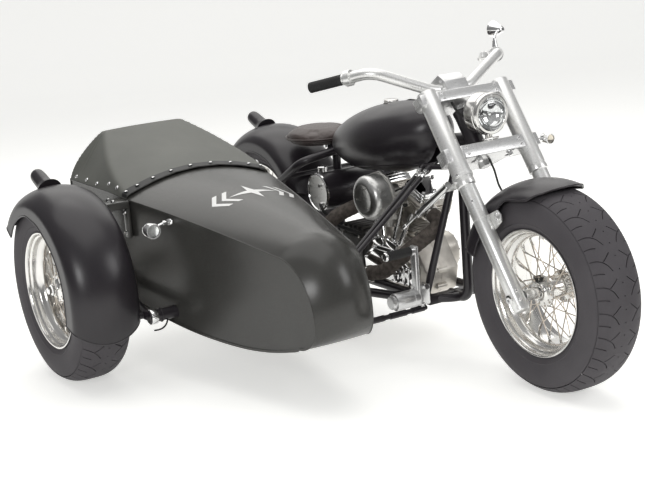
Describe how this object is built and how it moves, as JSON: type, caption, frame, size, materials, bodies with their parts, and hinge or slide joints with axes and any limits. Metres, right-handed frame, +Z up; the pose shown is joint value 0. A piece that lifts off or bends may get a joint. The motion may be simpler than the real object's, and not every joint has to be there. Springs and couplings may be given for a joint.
{
  "type": "sidecar motorcycle",
  "caption": "Fat-tyred rigid-frame motorcycle with a V-twin engine and a boat-shaped passenger sidecar; it steers and all its wheels roll.",
  "frame": {"origin": "on the ground, at the centre of the whole vehicle's box seen from above", "axes": "+X is forward, +Y is the rider's left, +Z is up; the sidecar is on the right, towards -Y"},
  "size_m": [2.3651, 1.673, 1.096],
  "materials": {
    "satin_black": "satin",
    "brushed_aluminium": "brushed",
    "chrome": "polished",
    "tyre_rubber": "matte",
    "grip_rubber": "matte",
    "brown_leather": "satin",
    "pipe_wrap": "woven glass-fibre wrap",
    "cover_vinyl": "coated cloth",
    "clear_glass": "clear"
  },
  "bodies": {
    "root": {"main_frame": "satin_black", "rear_axle": "chrome", "crankcase": "brushed_aluminium", "cam_cover": "brushed_aluminium", "primary_cover": "brushed_aluminium", "gearbox": "brushed_aluminium", "front_cylinder": "brushed_aluminium", "front_head": "brushed_aluminium", "front_rocker_box": "chrome", "rear_cylinder": "brushed_aluminium", "rear_head": "brushed_aluminium", "rear_rocker_box": "chrome", "air_cleaner": "brushed_aluminium", "air_cleaner_back": "brushed_aluminium", "oil_tank": "brushed_aluminium", "front_exhaust": "pipe_wrap", "rear_exhaust": "pipe_wrap", "fuel_tank": "satin_black", "fuel_cap": "brushed_aluminium", "seat": "brown_leather", "sidecar_body": "satin_black", "tonneau_cover": "cover_vinyl", "sidecar_chassis": "satin_black", "sidecar_strut_1": "satin_black", "sidecar_strut_2": "satin_black", "right_foot_control": "brushed_aluminium", "left_foot_control": "brushed_aluminium", "sidecar_side_right": "satin_black", "sidecar_side_left": "satin_black", "sidecar_front_lamp": "chrome", "rear_lamp": "satin_black", "sidecar_lamp": "satin_black", "rear_fender": "satin_black", "sidecar_fender": "satin_black"},
    "steering": {"fork_leg_right": "brushed_aluminium", "fork_leg_left": "brushed_aluminium", "lower_clamp": "brushed_aluminium", "upper_clamp": "brushed_aluminium", "front_axle": "chrome", "handlebar": "brushed_aluminium", "grip_right": "grip_rubber", "grip_left": "grip_rubber", "mirror": "chrome", "turn_signal": "chrome", "brake_hose": "grip_rubber", "headlight_housing": "brushed_aluminium", "headlight_lens": "clear_glass", "headlight_bracket": "brushed_aluminium", "front_fender": "satin_black"},
    "front_wheel": {"front_tyre": "tyre_rubber", "front_wheel": "brushed_aluminium"},
    "rear_wheel": {"rear_tyre": "tyre_rubber", "rear_wheel": "brushed_aluminium"},
    "sidecar_wheel": {"sidecar_tyre": "tyre_rubber", "sidecar_wheel": "brushed_aluminium"},
    "damper_tube": {"damper_tube": "chrome"},
    "damper_rod": {"damper_rod": "chrome"}
  },
  "joints": [
    {"name": "steering", "type": "hinge", "parent": "root", "child": "steering", "pos_m": [0.80781, 0.4065, 0.29865], "axis": [-0.57, 0, 0.8216], "range_deg": [-30, 30]},
    {"name": "front_wheel_spin", "type": "hinge", "parent": "steering", "child": "front_wheel", "pos_m": [0.853, 0.4065, 0.33], "axis": [0, 1, 0], "continuous": true},
    {"name": "rear_wheel_spin", "type": "hinge", "parent": "root", "child": "rear_wheel", "pos_m": [-0.827, 0.4065, 0.33], "axis": [0, 1, 0], "continuous": true},
    {"name": "sidecar_wheel_spin", "type": "hinge", "parent": "root", "child": "sidecar_wheel", "pos_m": [-0.389, -0.7155, 0.33], "axis": [0, 1, 0], "continuous": true},
    {"name": "damper_swing", "type": "hinge", "parent": "steering", "child": "damper_tube", "pos_m": [0.56846, 0.2285, 0.65595], "axis": [-0.57, 0, 0.8216], "range_deg": [-31, 31]},
    {"name": "damper_stroke", "type": "slide", "parent": "damper_tube", "child": "damper_rod", "axis": [-0.8216, 0, -0.57], "range_m": [-0.0895, 0.0895]}
  ],
  "couplings": [
    {"joint": "damper_swing", "follows": "steering", "ratio": -1},
    {"joint": "damper_stroke", "follows": "steering", "m_per_rad": 0.17}
  ]
}
